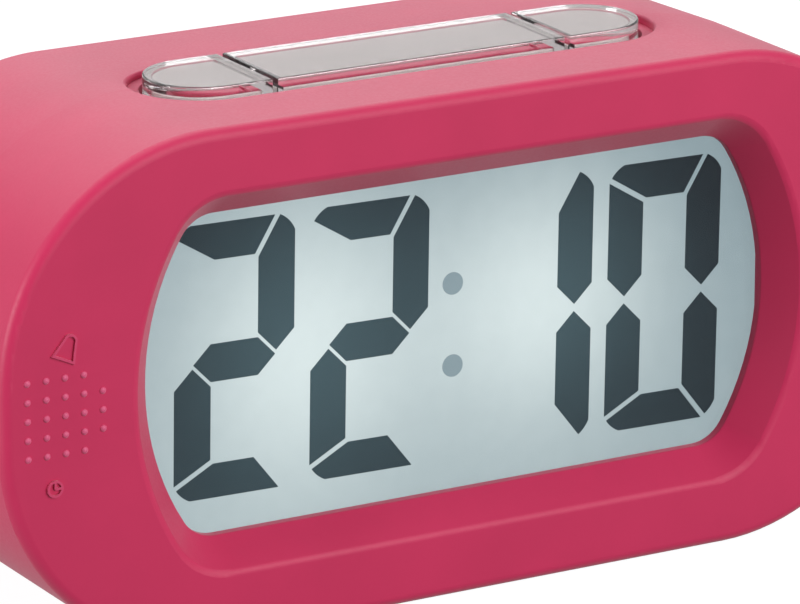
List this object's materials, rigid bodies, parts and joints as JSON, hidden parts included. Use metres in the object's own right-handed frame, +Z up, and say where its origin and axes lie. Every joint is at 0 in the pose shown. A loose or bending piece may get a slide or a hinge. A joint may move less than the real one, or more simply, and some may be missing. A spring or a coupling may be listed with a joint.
{
  "type": "digital alarm clock",
  "caption": "Low, wide digital alarm clock with round ends in a soft silicone sleeve: recessed lit display, clear top keys, soft dot pad on the front and a battery door behind.",
  "frame": {"origin": "on the resting surface, under the middle of the whole object with its raised dots", "axes": "+X to the right as seen from the front, +Y towards the back, +Z up; the display faces -Y"},
  "size_m": [0.14, 0.052, 0.0701],
  "materials": {
    "pink_silicone": "soft matte silicone with a satin sheen",
    "pink_case_plastic": "fine-textured moulded plastic",
    "clear_acrylic": "polished clear acrylic",
    "pale_insert_plastic": "pale grey moulded plastic",
    "display_glass": "reflective display cell with a matte polariser, lit from behind",
    "display_segments": "dark printed-looking segments",
    "display_colon": "half-dark segments",
    "opal_plastic": "opal diffusing sheet",
    "white_plastic": "white moulded plastic",
    "contact_rubber": "layered conductive rubber",
    "circuit_board": "green solder mask",
    "led_resin": "clear resin on a white body",
    "black_epoxy": "poured black epoxy",
    "bright_can": "drawn bright metal",
    "screw_steel": "zinc-plated",
    "black_plastic": "black moulded plastic",
    "plunger_plastic": "ivory moulded plastic",
    "cell_jacket": "printed jacket, plain",
    "contact_metal": "nickel-plated spring steel",
    "red_wire": "insulated wire",
    "black_wire": "insulated wire"
  },
  "bodies": {
    "clock": {"silicone_sleeve": "pink_silicone", "set_web": "pink_silicone", "front_case": "pink_case_plastic", "rear_cover": "pink_case_plastic", "display_lens": "clear_acrylic", "lcd_panel": "display_glass", "lcd_digits": "display_segments", "lcd_colon": "display_colon", "light_diffuser": "opal_plastic", "lcd_holder": "white_plastic", "contact_strips": "contact_rubber", "main_board": "circuit_board", "key_board": "circuit_board", "backlight_leds": "led_resin", "driver_chip": "black_epoxy", "timing_crystal": "bright_can", "capacitors": "bright_can", "board_screws": "screw_steel", "key_board_screws": "screw_steel", "case_screws": "screw_steel", "board_link": "black_plastic", "key_switches": "black_plastic", "set_switch": "black_plastic", "buzzer": "black_plastic", "battery_cells": "cell_jacket", "plate_contacts": "contact_metal", "leaf_contacts": "contact_metal", "lead_positive": "red_wire", "lead_negative": "black_wire"},
    "hour": {"hour_key": "clear_acrylic", "hour_insert": "pale_insert_plastic", "hour_plunger": "plunger_plastic"},
    "snooze": {"snooze_bar": "clear_acrylic", "snooze_insert": "pale_insert_plastic", "snooze_plungers": "plunger_plastic"},
    "minute": {"minute_key": "clear_acrylic", "minute_insert": "pale_insert_plastic", "minute_plunger": "plunger_plastic"},
    "set": {"set_pad": "pink_silicone", "set_key": "white_plastic", "set_plunger": "plunger_plastic"},
    "door": {"battery_door": "pink_case_plastic"}
  },
  "joints": [
    {"name": "hour_press", "type": "slide", "parent": "clock", "child": "hour", "axis": [0, 0, -1], "range_m": [0, 0.0005], "stiffness_N_per_m": 400},
    {"name": "snooze_press", "type": "slide", "parent": "clock", "child": "snooze", "axis": [0, 0, -1], "range_m": [0, 0.0005], "stiffness_N_per_m": 600},
    {"name": "minute_press", "type": "slide", "parent": "clock", "child": "minute", "axis": [0, 0, -1], "range_m": [0, 0.0005], "stiffness_N_per_m": 400},
    {"name": "set_press", "type": "slide", "parent": "clock", "child": "set", "axis": [0, 1, 0], "range_m": [0, 0.0005], "stiffness_N_per_m": 400, "deforming": ["set_web"]},
    {"name": "door_lift", "type": "slide", "parent": "clock", "child": "door", "axis": [0, 1, 0], "range_m": [0, 0.03]}
  ]
}
